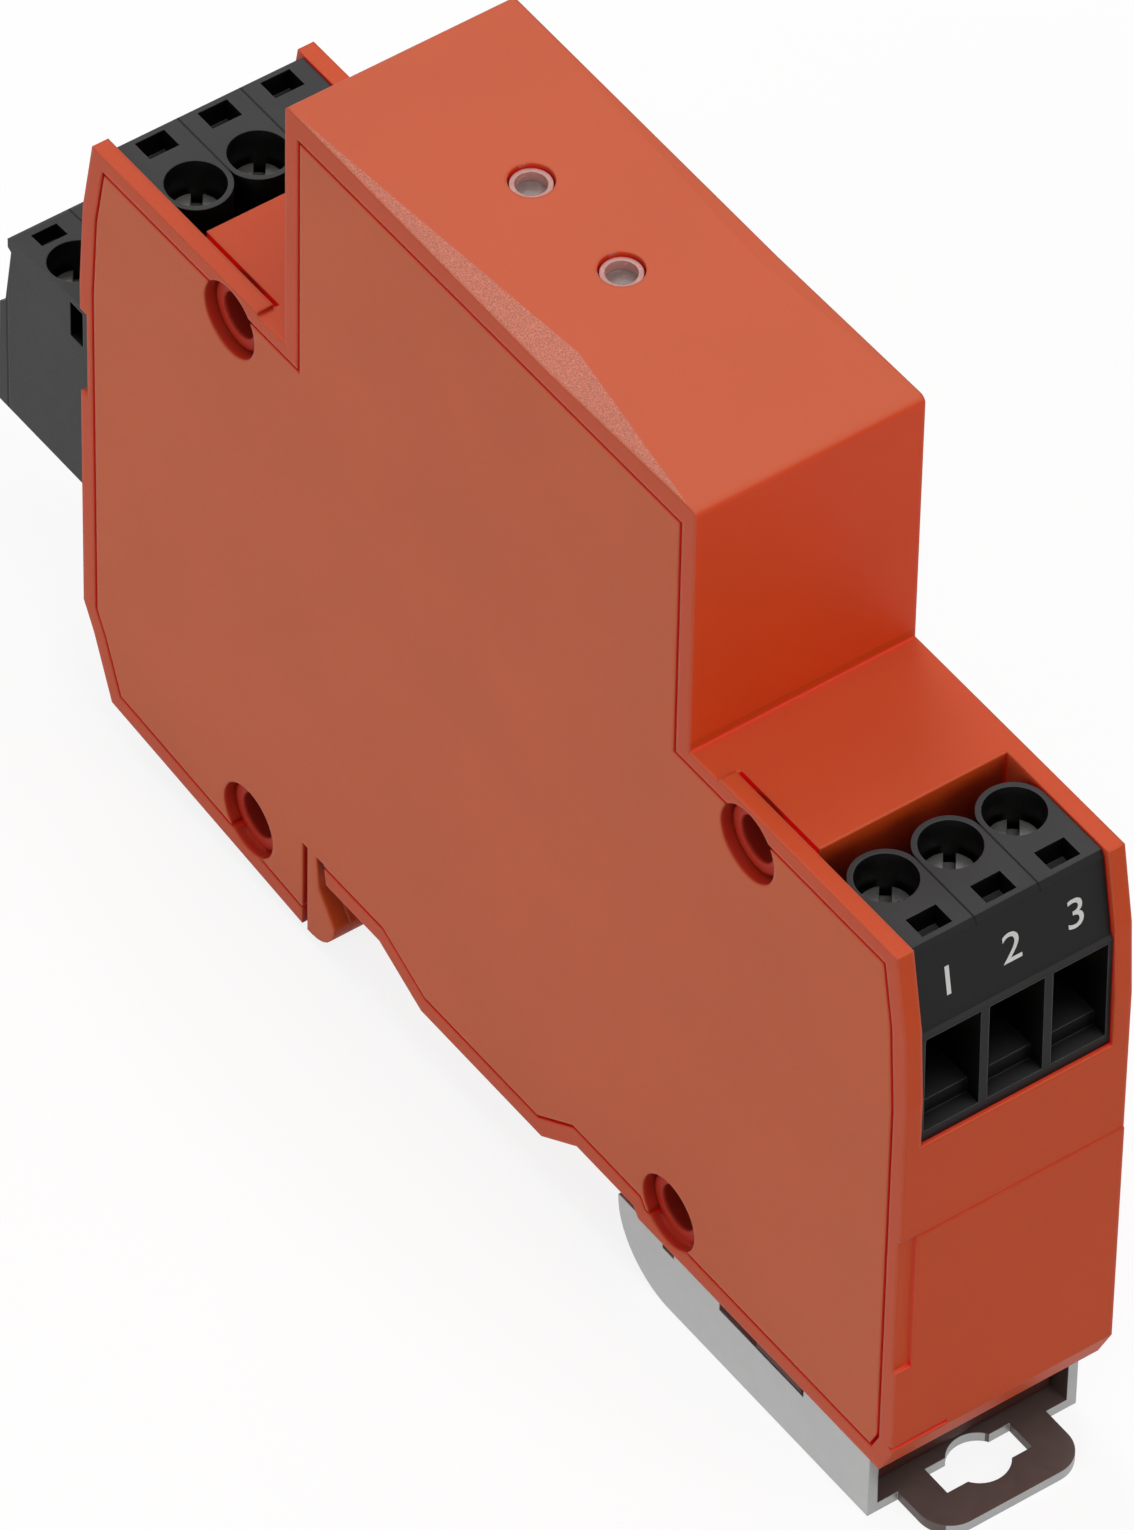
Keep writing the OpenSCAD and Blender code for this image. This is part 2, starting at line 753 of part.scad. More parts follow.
module foot_flange_outline() {
    difference() {
        union() {
            translate([foot_front_y, foot_base])
                square([foot_tip_y - foot_nose_r - foot_front_y, foot_nose_r]);
            intersection() {
                translate([foot_tip_y - foot_nose_r, foot_top])
                    circle(foot_nose_r, $fn = 96);
                translate([foot_tip_y - foot_nose_r - 0.1, foot_base])
                    square(foot_nose_r + 0.1);
            }
        }
        translate([notch_y[0], foot_top - notch_drop])
            square([notch_y[1] - notch_y[0], notch_drop + over]);
        translate([foot_tip_y - 6.3, foot_top - 0.7])
            square([1.3, 0.7 + over]);
    }
}

// Pull tab with round corners and its screwdriver eye, drawn flat in X and Y
module foot_plate_outline() {
    r = 2.4;
    tab_y = foot_front_y - tab_len;
    difference() {
        union() {
            translate([-foot_half, foot_front_y])
                square([foot_w, foot_tip_y - foot_nose_r - foot_front_y]);
            translate([-tab_w / 2, tab_y + r])
                square([tab_w, tab_len - r + 0.1]);
            translate([-tab_w / 2 + r, tab_y])
                square([tab_w - 2 * r, r + 0.1]);
            for (side = [-1, 1])
                translate([side * (tab_w / 2 - r), tab_y + r])
                    circle(r);
        }
        translate([-eye_len / 2, foot_front_y - 0.7 - eye_w / 2])
            square([eye_len, eye_w]);
        translate([0, foot_front_y - 0.7])
            circle(d = eye_d);
    }
}

module rail_foot() {
    color(zinc) {
        translate([0, 0, foot_base])
            linear_extrude(foot_t)
                foot_plate_outline();
        for (side = [-1, 1]) {
            across(side < 0 ? -foot_half : foot_in, side < 0 ? -foot_in : foot_half)
                foot_flange_outline();
            span(side < 0 ? [-foot_in - 0.1, -keel_half + guide_reach - 0.2]
                          : [keel_half - guide_reach + 0.2, foot_in + 0.1],
                 [keel_y[0] + 1, keel_y[1] - 4], [guide_z - guide_h / 2, guide_z + guide_h / 2]);
        }
        span([-spring_d / 2, spring_d / 2], [spring_tab_y, spring_tab_y + foot_t],
             [foot_base + foot_t - 0.1, spring_z + spring_d / 2]);
    }
}

// Coil spring between the keel and the foot's bent-up tab
module foot_spring() {
    length = spring_y[1] - spring_y[0];
    color(nickel)
        translate([0, spring_y[0], spring_z])
            rotate([-90, 0, 0])
                linear_extrude(length, twist = -360 * spring_turns, slices = 12 * spring_turns, $fn = 8)
                    translate([spring_d / 2 - spring_wire, 0])
                        circle(d = 2 * spring_wire, $fn = 8);
}

// Lamps, board and the parts on it

module circuit_board() {
    color(board_green)
        across(board_x, board_x + board_t) {
            translate([-board_half, board_z[0]])
                square([2 * board_half, board_z[1] - board_z[0]]);
            translate([-board_cap_half, board_z[1] - 0.1])
                square([2 * board_cap_half, board_cap_top - board_z[1] + 0.1]);
        }
}

// Disc varistor lying on the board, with rounded rims
module varistor(y) {
    r = varistor_d / 2;
    rim = 1;
    color(ceramic_blue)
        translate([board_x - varistor_t, y, board_z[0] + board_edge + r])
            rotate([0, 90, 0])
                rotate_extrude()
                    difference() {
                        square([r, varistor_t]);
                        translate([r - rim, varistor_t - rim])
                            difference() {
                                square(2 * rim);
                                circle(rim);
                            }
                        translate([r - rim, rim])
                            difference() {
                                translate([0, -2 * rim])
                                    square(2 * rim);
                                circle(rim);
                            }
                    }
}

// Gas discharge tube: ceramic barrel between two metal caps, along Y
module gas_tube() {
    cap_t = 1.2;
    color([0.86, 0.84, 0.80])
        translate([board_x - tube_d / 2, -tube_len / 2, board_z[1] - 2 * board_edge - tube_d / 2])
            rotate([-90, 0, 0]) {
                cylinder(d = tube_d - 0.8, h = tube_len);
                for (z = [0, tube_len - cap_t])
                    translate([0, 0, z])
                        cylinder(d = tube_d, h = cap_t);
            }
}

// Thermal fuse beside the varistors, along Z
module thermal_fuse() {
    lead = 2;
    color(zinc)
        translate([board_x - fuse_d / 2, 0, board_z[0] + board_edge + lead]) {
            cylinder(d = fuse_d, h = fuse_len);
            translate([0, 0, -lead])
                cylinder(d = 1, h = fuse_len + 2 * lead);
        }
}

module signal_relay() {
    color(relay_black)
        span([board_x - relay_t, board_x], [tube_len / 2 + 3, tube_len / 2 + 3 + relay_len],
             [board_z[1] - 2 * board_edge - relay_h, board_z[1] - 2 * board_edge]);
}

// Round lamp on bent leads, under its light pipe
module led(y, lamp_colour) {
    color(lamp_colour)
        translate([0, y, led_top - led_h]) {
            cylinder(d = led_d + 0.8, h = 0.8);
            cylinder(d = led_d, h = led_h - led_d / 2);
            translate([0, 0, led_h - led_d / 2])
                sphere(d = led_d);
            for (side = [-1, 1]) {
                translate([0, side * 1.1, 0])
                    span([-0.25, 0.25], [-0.25, 0.25], [-3, 0.1]);
                translate([0, side * 1.1, 0])
                    span([-0.25, board_x], [-0.25, 0.25], [-3.5, -3]);
            }
        }
}

// Light pipe with a dished end in its window and a flange under the cap
module light_pipe(y) {
    color(clear)
        translate([0, y, pipe_top])
            difference() {
                union() {
                    translate([0, 0, -pipe_len])
                        cylinder(d = pipe_d, h = pipe_len);
                    translate([0, 0, cap_under - pipe_top - 1])
                        cylinder(d = pipe_flange_d, h = 1);
                }
                translate([0, 0, -dish_t])
                    cylinder(d = dish_d, h = dish_t + over);
            }
}

housing_shell();
side_cover();
terminal_block(-1);  // front_terminal_block
at_block(-1) translate([pole_x(1), 0, 0]) clamp_screw(-1);  // front_screw_1
at_block(-1) translate([pole_x(2), 0, 0]) clamp_screw(-1);  // front_screw_2
at_block(-1) translate([pole_x(3), 0, 0]) clamp_screw(-1);  // front_screw_3
at_block(-1) translate([pole_x(1), 0, 0]) clamp_cage();  // front_clamp_1
at_block(-1) translate([pole_x(2), 0, 0]) clamp_cage();  // front_clamp_2
at_block(-1) translate([pole_x(3), 0, 0]) clamp_cage();  // front_clamp_3
contacts(-1);  // front_contacts
terminal_block(1);  // rear_terminal_block
at_block(1) translate([pole_x(1), 0, 0]) clamp_screw();  // rear_screw_1
at_block(1) translate([pole_x(2), 0, 0]) clamp_screw();  // rear_screw_2
at_block(1) translate([pole_x(3), 0, 0]) clamp_screw();  // rear_screw_3
at_block(1) translate([pole_x(1), 0, 0]) clamp_cage();  // rear_clamp_1
at_block(1) translate([pole_x(2), 0, 0]) clamp_cage();  // rear_clamp_2
at_block(1) translate([pole_x(3), 0, 0]) clamp_cage();  // rear_clamp_3
contacts(1);  // rear_contacts
plug_body();
at_plug() translate([pole_x(1), 0, 0]) clamp_screw();  // plug_screw_1
at_plug() translate([pole_x(2), 0, 0]) clamp_screw();  // plug_screw_2
at_plug() translate([pole_x(3), 0, 0]) clamp_screw();  // plug_screw_3
at_plug() translate([pole_x(1), 0, 0]) clamp_cage();  // plug_clamp_1
at_plug() translate([pole_x(2), 0, 0]) clamp_cage();  // plug_clamp_2
at_plug() translate([pole_x(3), 0, 0]) clamp_cage();  // plug_clamp_3
plug_contacts();
signal_header();
header_pins();
rail_foot();
foot_spring();
circuit_board();
varistor(-fuse_d / 2 - 3 - varistor_d / 2);  // varistor_1
varistor(fuse_d / 2 + 1 + varistor_d / 2);  // varistor_2
gas_tube();
thermal_fuse();
signal_relay();
led(lamp_places[0], [0.2, 0.7, 0.3]);  // led_1
led(lamp_places[1], [0.8, 0.2, 0.15]);  // led_2
light_pipe(lamp_places[0]);  // light_pipe_1
light_pipe(lamp_places[1]);  // light_pipe_2
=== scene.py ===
import math

import bpy
from mathutils import Matrix, Vector


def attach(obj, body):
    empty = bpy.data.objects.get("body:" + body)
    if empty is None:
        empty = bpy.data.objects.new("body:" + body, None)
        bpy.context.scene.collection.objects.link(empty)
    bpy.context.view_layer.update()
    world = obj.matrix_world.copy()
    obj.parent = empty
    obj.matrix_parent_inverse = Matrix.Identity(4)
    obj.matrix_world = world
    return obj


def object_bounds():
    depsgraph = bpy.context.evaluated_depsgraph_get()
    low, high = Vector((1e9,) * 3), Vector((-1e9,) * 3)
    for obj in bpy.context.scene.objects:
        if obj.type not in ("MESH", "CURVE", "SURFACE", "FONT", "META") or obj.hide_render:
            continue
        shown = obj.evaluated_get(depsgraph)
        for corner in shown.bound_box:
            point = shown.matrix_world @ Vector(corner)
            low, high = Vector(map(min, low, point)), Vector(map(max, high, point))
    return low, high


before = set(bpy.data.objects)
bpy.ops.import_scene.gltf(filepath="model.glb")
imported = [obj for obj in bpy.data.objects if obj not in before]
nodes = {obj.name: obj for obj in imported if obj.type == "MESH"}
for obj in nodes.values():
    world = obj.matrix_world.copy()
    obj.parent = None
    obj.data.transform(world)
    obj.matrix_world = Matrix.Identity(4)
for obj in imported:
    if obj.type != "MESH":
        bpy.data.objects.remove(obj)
cad_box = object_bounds()
MM = 0.001


# Places, taken from the CAD nodes where one gives them

def box_of(name):
    """The lowest and the highest corner of a CAD node at rest."""
    corners = nodes[name].bound_box
    return Vector(corners[0]), Vector(corners[6])


def middle_of(name):
    low, high = box_of(name)
    return (low + high) / 2


POLES = (1, 2, 3)
BLOCKS = ("front", "rear", "plug")
PITCH = middle_of("front_screw_2").x - middle_of("front_screw_1").x
SCREW_SUNK = 2.7 * MM                                   # from a block's top down to its screw heads
BLOCK_TOP = box_of("front_screw_2")[1].z + SCREW_SUNK
BLOCK_SCREW_Y = middle_of("rear_screw_2").y
PLUG_TOP = box_of("plug_screw_2")[1].z + SCREW_SUNK
PLUG_SCREW_Y = middle_of("plug_screw_2").y
PLUG_LINE_Y = box_of("plug_body")[1].y - 1.2 * MM       # joint down the plug's left side
BLOCK_SIDE_X = 7.4 * MM                                 # the blocks' outer sides lie past this
WELL_R = 2.2 * MM                                       # driver holes over the screws, with their walls

CAP_TOP = cad_box[1].z
CAP_FACE_LOW = CAP_TOP - 9.5 * MM                       # upward faces over this are the cap's top
FACET_LOW = CAP_TOP - 0.8 * MM                          # slanting faces over this are the cap's facets
CAP_WALL_LOW = BLOCK_TOP + MM                           # end walls over this are the cap's
KEEL_TOP = -MM                                          # the keel lies under this
KEEL_END = -17 * MM                                     # and nearer than this
BOSSES = ((28.9, 44.7), (-28.9, 44.7), (26.8, -1.6), (-21.7, 2.8))  # Y and Z of the hollow bosses, in mm
BOSS_RECESS_R = 2.95 * MM
BOSS_RECESS_X = -8.85 * MM                              # where the sunk ring around a boss starts
BOSS_BORE_R = 1.8 * MM
BOSS_BORE_X = -7.9 * MM                                 # where its bore starts
BOSS_END_X = 8 * MM

FOOT_FLOOR_Z = -4 * MM                                  # upward faces under this are the foot's floor
FOOT_IN_X = box_of("rail_foot")[1].x - 0.5 * MM         # side faces nearer than this are inside the foot
PIPE_DISH_Z = box_of("light_pipe_1")[1].z - 0.89 * MM   # bottom of the hollow in a pipe's end

LABEL_Y = box_of("rear_terminal_block")[1].y - 0.997 * MM
LABEL_Z = BLOCK_TOP - 3.75 * MM
LABEL_UP = (0.182, 0.983)                               # way up a label face: inwards and up
DIGIT_SIZE = 3.4 * MM
INK_THICK = 0.01 * MM
INK_LIFT = 0.012 * MM

FLOOR_HALF = 3.0
FLOOR_GAP = 0.05 * MM
WORLD_LIGHT = 0.3
LIGHT_AIM = (0, 0, 0.03)
LAMPS = (                                               # name, place, width and power in watts
    ("key", (0, -0.45, 1.0), 0.7, 3.9),
    ("back", (0.1, 0.55, 0.83), 0.6, 3.2),
    ("front", (0.25, -1.0, 0.55), 0.6, 2.2),
    ("left", (-1.0, -0.1, 0.6), 0.6, 2.55),
)
CAMERA_PLACE = Vector((-412.05, -552.32, 748.74)) * MM
CAMERA_AIM = Vector((-2.02, -0.04, 22.88)) * MM
CAMERA_ROLL = math.radians(1.17)
FOCAL_PX = 15131
PHOTO_HEIGHT_PX = 1530
SENSOR = 36


# Colours as they look on screen, from 0 to 255

def srgb(r, g, b):
    """The linear values that shaders take."""
    def channel(v):
        v /= 255
        return v / 12.92 if v <= 0.04045 else ((v + 0.055) / 1.055) ** 2.4
    return (channel(r), channel(g), channel(b), 1.0)


CASE_ORANGE = srgb(202, 79, 42)
# The cover's orange, paler than the case's as painted light on its left-facing side.
COVER_LIT_ORANGE = srgb(203, 95, 54)
# Faces looking along Y: a deeper orange as painted shade on the lower ends, brighter as painted light on the
# cap's end walls.
END_SHADED_ORANGE = srgb(188, 65, 15)
CAP_WALL_LIT_ORANGE = srgb(206, 66, 22)
# Upward faces of the cap: a paler orange as painted sheen.
CAP_TOP_LIT_ORANGE = srgb(197, 90, 58)
# Left facets of the cap: pale as painted sheen, speckled by grain.
FACET_SHEEN_PALE = srgb(190, 112, 92)
# Pale orange along sharp edges: a painted highlight.
EDGE_HIGHLIGHT_PALE = srgb(228, 122, 92)
# Darker red in hollows: painted shade.
HOLLOW_SHADE_RED = srgb(104, 16, 8)
# Bright red in narrow gaps: a painted red glow.
GAP_GLOW_RED = srgb(244, 26, 14)
# Redder, darker rings and bores in the bosses: painted shade.
RECESS_SHADE_RED = srgb(182, 44, 24)
BORE_SHADE_RED = srgb(152, 32, 18)
# Dark brown on the keel under the foot: a painted shadow.
KEEL_SHADOW_BROWN = srgb(66, 32, 26)
# Black plastic by face, as painted light and shade: a lighter top, darker outer sides, and the darkest ends
# and inner walls.
BLOCK_TOP_LIT_GREY = srgb(57, 57, 58)
BLOCK_END_SHADE_GREY = srgb(18, 18, 19)
BLOCK_SIDE_SHADE_GREY = srgb(48, 48, 49)
# Paler grey along the blocks' sharp edges: a painted highlight.
BLOCK_EDGE_HIGHLIGHT_GREY = srgb(120, 120, 120)
# Near-black in driver holes and enclosed hollows: painted shade.
WELL_SHADE_BLACK = srgb(2, 2, 2)
JOINT_BLACK = srgb(8, 8, 8)
FOOT_BRIGHT = srgb(180, 180, 180)
FOOT_CUT = srgb(166, 166, 166)
# Darker and less metallic inside the foot's channel: painted shade.
FOOT_CHANNEL_SHADE = srgb(92, 78, 74)
# Light pipe: a pale rim as painted light, a darker dish bottom as painted shade.
PIPE_RIM_LIT = srgb(204, 148, 140)
PIPE_DISH_SHADE = srgb(152, 134, 130)
INK_WHITE = srgb(206, 206, 204)
FLOOR_LIT = srgb(212, 212, 212)
FLOOR_SEEN = srgb(252, 252, 252)
WHITE = (1, 1, 1, 1)


# Small helpers for node trees

def add(tree, kind, inputs=None, **settings):
    """A new node, with values or links for its inputs."""
    new = tree.nodes.new("ShaderNode" + kind)
    for key, value in settings.items():
        setattr(new, key, value)
    for key, value in (inputs or {}).items():
        if isinstance(value, bpy.types.NodeSocket):
            tree.links.new(value, new.inputs[key])
        else:
            new.inputs[key].default_value = value
    return new


def blank(name):
    """A new material, its tree, its shader and the object coordinates."""
    mat = bpy.data.materials.new(name)
    mat.use_nodes = True
    tree = mat.node_tree
    coords = add(tree, "TexCoord").outputs["Object"]
    return mat, tree, tree.nodes["Principled BSDF"], coords


def noise(tree, coords, size, detail):
    """Noise whose lumps are about size metres across."""
    return add(tree, "TexNoise", {"Vector": coords, "Scale": 1 / size, "Detail": detail}).outputs["Fac"]


def spread(tree, value, low, high, source=(0.3, 0.7)):
    """A value moved from its source range to low and high."""
    return add(tree, "MapRange", {"Value": value, "From Min": source[0], "From Max": source[1],
                                  "To Min": low, "To Max": high}).outputs["Result"]


def maths(tree, operation, a, b=0.0):
    return add(tree, "Math", {0: a, 1: b}, operation=operation).outputs["Value"]


def absolute(tree, value):
    return maths(tree, "ABSOLUTE", value)


def over(tree, value, limit):
    return maths(tree, "GREATER_THAN", value, limit)


def under(tree, value, limit):
    return maths(tree, "LESS_THAN", value, limit)


def both(tree, a, b):
    """1 where two masks are both 1."""
    return maths(tree, "MULTIPLY", a, b)


def between(tree, value, low, high, blur):
    """1 where a value lies between low and high, fading to 0 over blur."""
    rise = spread(tree, value, 0, 1, (low - blur, low))
    fall = spread(tree, value, 1, 0, (high, high + blur))
    return both(tree, rise, fall)


def length(tree, a, b):
    """How far a point lies from an axis, from its two offsets."""
    pair = add(tree, "CombineXYZ", {"X": a, "Y": b}).outputs["Vector"]
    return add(tree, "VectorMath", {0: pair}, operation="LENGTH").outputs["Value"]


def axes(tree, vector):
    """The three parts of a vector."""
    return add(tree, "SeparateXYZ", {"Vector": vector}).outputs[:]


def face_normal(tree):
    return add(tree, "NewGeometry").outputs["True Normal"]


def facing(tree, part):
    """1 on faces that look along an axis, from that part of their normal."""
    return spread(tree, part, 0, 1, (0.5, 0.9))


def openness(tree, reach):
    """1 on open faces, and less where other faces lie within reach."""
    return add(tree, "AmbientOcclusion", {"Distance": reach}, samples=8).outputs["AO"]


def shade(tree, colour, factor):
    """A colour made lighter or darker by a factor that varies over the surface."""
    return add(tree, "HueSaturation", {"Color": colour, "Value": factor}).outputs["Color"]


def mix(tree, factor, a, b):
    """Colour a where the factor is 0, and colour b where it is 1."""
    new = add(tree, "Mix", {"Factor": factor}, data_type="RGBA")
    for socket, value in ((new.inputs[6], a), (new.inputs[7], b)):
        if isinstance(value, bpy.types.NodeSocket):
            tree.links.new(value, socket)
        else:
            socket.default_value = value
    return new.outputs[2]


def soften(tree, edge):
    """Normals rounded over the sharp edges."""
    return add(tree, "Bevel", {"Radius": edge}, samples=8).outputs["Normal"]


def sharp_edges(tree, soft, normal):
    """1 along sharp edges, where the rounded normal leaves that of the face."""
    turned = add(tree, "VectorMath", {0: soft, 1: normal}, operation="DOT_PRODUCT").outputs["Value"]
    return spread(tree, turned, 1, 0, (0.74, 0.92))


def feed(tree, bsdf, colour, rough):
    tree.links.new(colour, bsdf.inputs["Base Color"])
    tree.links.new(rough, bsdf.inputs["Roughness"])


def rounded(tree, bsdf, soft, strength, depth, height):
    """Softened edges with a bump laid over them."""
    bump = add(tree, "Bump", {"Strength": strength, "Distance": depth, "Height": height, "Normal": soft})
    tree.links.new(bump.outputs["Normal"], bsdf.inputs["Normal"])


# Plastics

def moulded(name, colour, rough, edge=0.2 * MM):
    """Injection-moulded plastic: spark-eroded grain, faint flow clouds and softened edges."""
    mat, tree, bsdf, coords = blank(name)
    grain = noise(tree, coords, 0.16 * MM, 4)
    clouds = noise(tree, coords, 9 * MM, 3)
    value = maths(tree, "ADD", spread(tree, clouds, 0.95, 1.05), spread(tree, grain, -0.03, 0.03))
    feed(tree, bsdf, shade(tree, colour, value), spread(tree, grain, rough - 0.07, rough + 0.07))
    bsdf.inputs["Specular IOR Level"].default_value = 0.4
    rounded(tree, bsdf, soften(tree, edge), 0.35, 0.02 * MM, grain)
    return mat


def near_bosses(tree, x, y, z, radius, start_x):
    """1 within a radius of the axes of the bosses, from start_x on into the case."""
    nearest = None
    for boss_y, boss_z in BOSSES:
        far = length(tree, maths(tree, "SUBTRACT", y, boss_y * MM), maths(tree, "SUBTRACT", z, boss_z * MM))
        nearest = maths(tree, "MINIMUM", nearest, far) if nearest else far
    return both(tree, under(tree, nearest, radius), between(tree, x, start_x, BOSS_END_X, 0.2 * MM))


def case_face_light_and_shade(tree, coords, normal, colour):
    """The case's colour by face, with light and shade painted in: deeper on its ends as painted shade,
    lighter on the cap's end walls as painted light, paler on the cap's top and pale and speckled on the
    facets as painted sheen.
    """
    n_x, n_y, n_z = axes(tree, normal)
    z = axes(tree, coords)[2]
    # Painted shade on the ends, with painted light on the cap's end walls.
    end = mix(tree, over(tree, z, CAP_WALL_LOW), END_SHADED_ORANGE, CAP_WALL_LIT_ORANGE)
    base = mix(tree, facing(tree, absolute(tree, n_y)), colour, end)
    # Painted sheen: the cap's upward faces are paler.
    top = both(tree, facing(tree, n_z), over(tree, z, CAP_FACE_LOW))
    base = mix(tree, top, base, CAP_TOP_LIT_ORANGE)
    # Painted sheen on the left facets, speckled by grain.
    facet = both(tree, between(tree, n_x, -0.4, -0.12, 0.05), over(tree, z, FACET_LOW))
    sheen_speckle = shade(tree, FACET_SHEEN_PALE, spread(tree, noise(tree, coords, 0.11 * MM, 1), 0.72, 1.28))
    return mix(tree, facet, base, sheen_speckle)


def case_shade_and_glow(tree, coords, base):
    """The case's colour made redder in gaps, as a painted glow, and darker in hollows, in the bosses and on
    the keel, as painted shade.
    """
    x, y, z = axes(tree, coords)
    # Painted shade: darker red where the hollows close in.
    hollow = spread(tree, openness(tree, 6 * MM), 0.9, 0, (0.2, 0.5))
    base = mix(tree, hollow, base, HOLLOW_SHADE_RED)
    # Painted red glow in the narrow gaps.
    gap_glow = spread(tree, openness(tree, 0.9 * MM), 1, 0, (0.3, 0.75))
    base = mix(tree, gap_glow, base, GAP_GLOW_RED)
    # Painted shade in the bosses' sunk rings and bores.
    base = mix(tree, near_bosses(tree, x, y, z, BOSS_RECESS_R, BOSS_RECESS_X), base, RECESS_SHADE_RED)
    base = mix(tree, near_bosses(tree, x, y, z, BOSS_BORE_R, BOSS_BORE_X), base, BORE_SHADE_RED)
    # Painted shadow on the keel under the foot.
    keel = both(tree, under(tree, z, KEEL_TOP), under(tree, y, KEEL_END))
    return mix(tree, keel, base, KEEL_SHADOW_BROWN)


def case_plastic(name, colour):
    """Orange case plastic, with painted highlights along its edges; a little light passes through it."""
    mat, tree, bsdf, coords = blank(name)
    grain = noise(tree, coords, 0.14 * MM, 4)
    clouds = noise(tree, coords, 12 * MM, 3)
    normal = face_normal(tree)
    soft = soften(tree, 0.4 * MM)
    base = case_face_light_and_shade(tree, coords, normal, colour)
    # Painted highlight along the sharp edges.
    base = mix(tree, maths(tree, "MULTIPLY", sharp_edges(tree, soft, normal), 0.45), base, EDGE_HIGHLIGHT_PALE)
    base = case_shade_and_glow(tree, coords, base)
    value = maths(tree, "ADD", spread(tree, clouds, 0.97, 1.03), spread(tree, grain, -0.02, 0.02))
    feed(tree, bsdf, shade(tree, base, value), spread(tree, grain, 0.46, 0.6))
    bsdf.inputs["Specular IOR Level"].default_value = 0.22
    bsdf.inputs["Subsurface Weight"].default_value = 0.2
    bsdf.inputs["Subsurface Radius"].default_value = (1.0, 0.12, 0.05)
    bsdf.inputs["Subsurface Scale"].default_value = 0.9 * MM
    rounded(tree, bsdf, soft, 0.3, 0.02 * MM, grain)
    return mat


def pole_joints(tree, x, y, z, top, line_y):
    """1 along the joints between the poles on a block's top, and along one down its left side at line_y."""
    off = absolute(tree, maths(tree, "SUBTRACT", absolute(tree, x), PITCH / 2))
    joint = both(tree, between(tree, off, -MM, 0.05 * MM, 0.06 * MM), over(tree, z, top - 0.6 * MM))
    if line_y is None:
        return joint
    along = absolute(tree, maths(tree, "SUBTRACT", y, line_y))
    left = both(tree, between(tree, along, -MM, 0.08 * MM, 0.1 * MM), under(tree, x, -BLOCK_SIDE_X))
    return maths(tree, "MAXIMUM", joint, left)


def block_plastic(name, top, screw_y, line_y=None):
    """Black terminal plastic with painted light and shade by face, painted shade darkest in its driver holes
    and wire mouths, and fine joints.
    """
    mat, tree, bsdf, coords = blank(name)
    grain = noise(tree, coords, 0.12 * MM, 4)
    clouds = noise(tree, coords, 5 * MM, 3)
    normal = face_normal(tree)
    soft = soften(tree, 0.14 * MM)
    x, y, z = axes(tree, coords)
    n_x, n_y, n_z = axes(tree, normal)

    # Painted light and shade by face: the top lightest, the outer sides darker, the ends and the walls inside
    # the block darkest.
    outer = over(tree, absolute(tree, x), BLOCK_SIDE_X)
    side = mix(tree, outer, BLOCK_END_SHADE_GREY, BLOCK_SIDE_SHADE_GREY)
    colour = mix(tree, facing(tree, absolute(tree, n_y)), BLOCK_TOP_LIT_GREY, BLOCK_END_SHADE_GREY)
    colour = mix(tree, facing(tree, absolute(tree, n_x)), colour, side)
    # Painted highlight along the sharp edges.
    colour = mix(tree, maths(tree, "MULTIPLY", sharp_edges(tree, soft, normal), 0.5), colour, BLOCK_EDGE_HIGHLIGHT_GREY)

    off_row = maths(tree, "SUBTRACT", absolute(tree, y), screw_y)
    off_screw = length(tree, maths(tree, "PINGPONG", x, PITCH / 2), off_row)
    # Painted shade: near-black in the driver holes and in enclosed hollows, but not on the pocket floors.
    well_shade = both(tree, under(tree, off_screw, WELL_R), spread(tree, z, 1, 0, (top - 0.7 * MM, top - 0.1 * MM)))
    pocket_depth = between(tree, z, top - 2.1 * MM, top - 1.2 * MM, 0.1 * MM)
    pocket_floor = both(tree, over(tree, n_z, 0.9), pocket_depth)
    closed_shade = spread(tree, openness(tree, 6 * MM), 1, 0, (0.3, 0.7))
    covered_shade = both(tree, closed_shade, maths(tree, "SUBTRACT", 1.0, pocket_floor))
    colour = mix(tree, maths(tree, "MAXIMUM", well_shade, covered_shade), colour, WELL_SHADE_BLACK)

    joint = pole_joints(tree, x, y, z, top, line_y)
    value = maths(tree, "ADD", spread(tree, clouds, 0.9, 1.1), spread(tree, grain, -0.1, 0.1))
    colour = shade(tree, mix(tree, joint, colour, JOINT_BLACK), value)
    feed(tree, bsdf, colour, spread(tree, grain, 0.38, 0.52))
    bsdf.inputs["Specular IOR Level"].default_value = 0.14
    height = maths(tree, "SUBTRACT", grain, maths(tree, "MULTIPLY", joint, 3.0))
    rounded(tree, bsdf, soft, 0.4, 0.02 * MM, height)
    return mat


def pipe_plastic(name):
    """Clear light pipe: a pale rim as painted light, darker at the bottom of its dished end as painted shade.
    """
    mat, tree, bsdf, coords = blank(name)
    z = axes(tree, coords)[2]
    haze = noise(tree, coords, 0.5 * MM, 3)
    # Painted light on the rim, painted shade at the bottom of the dish.
    dish_shade = spread(tree, z, 1, 0, (PIPE_DISH_Z, PIPE_DISH_Z + 0.25 * MM))
    colour = shade(tree, mix(tree, dish_shade, PIPE_RIM_LIT, PIPE_DISH_SHADE), spread(tree, haze, 0.92, 1.08))
    feed(tree, bsdf, colour, spread(tree, haze, 0.18, 0.3))
    bsdf.inputs["Transmission Weight"].default_value = 0.15
    rounded(tree, bsdf, soften(tree, 0.1 * MM), 0.1, 0.01 * MM, haze)
    return mat


# Metals

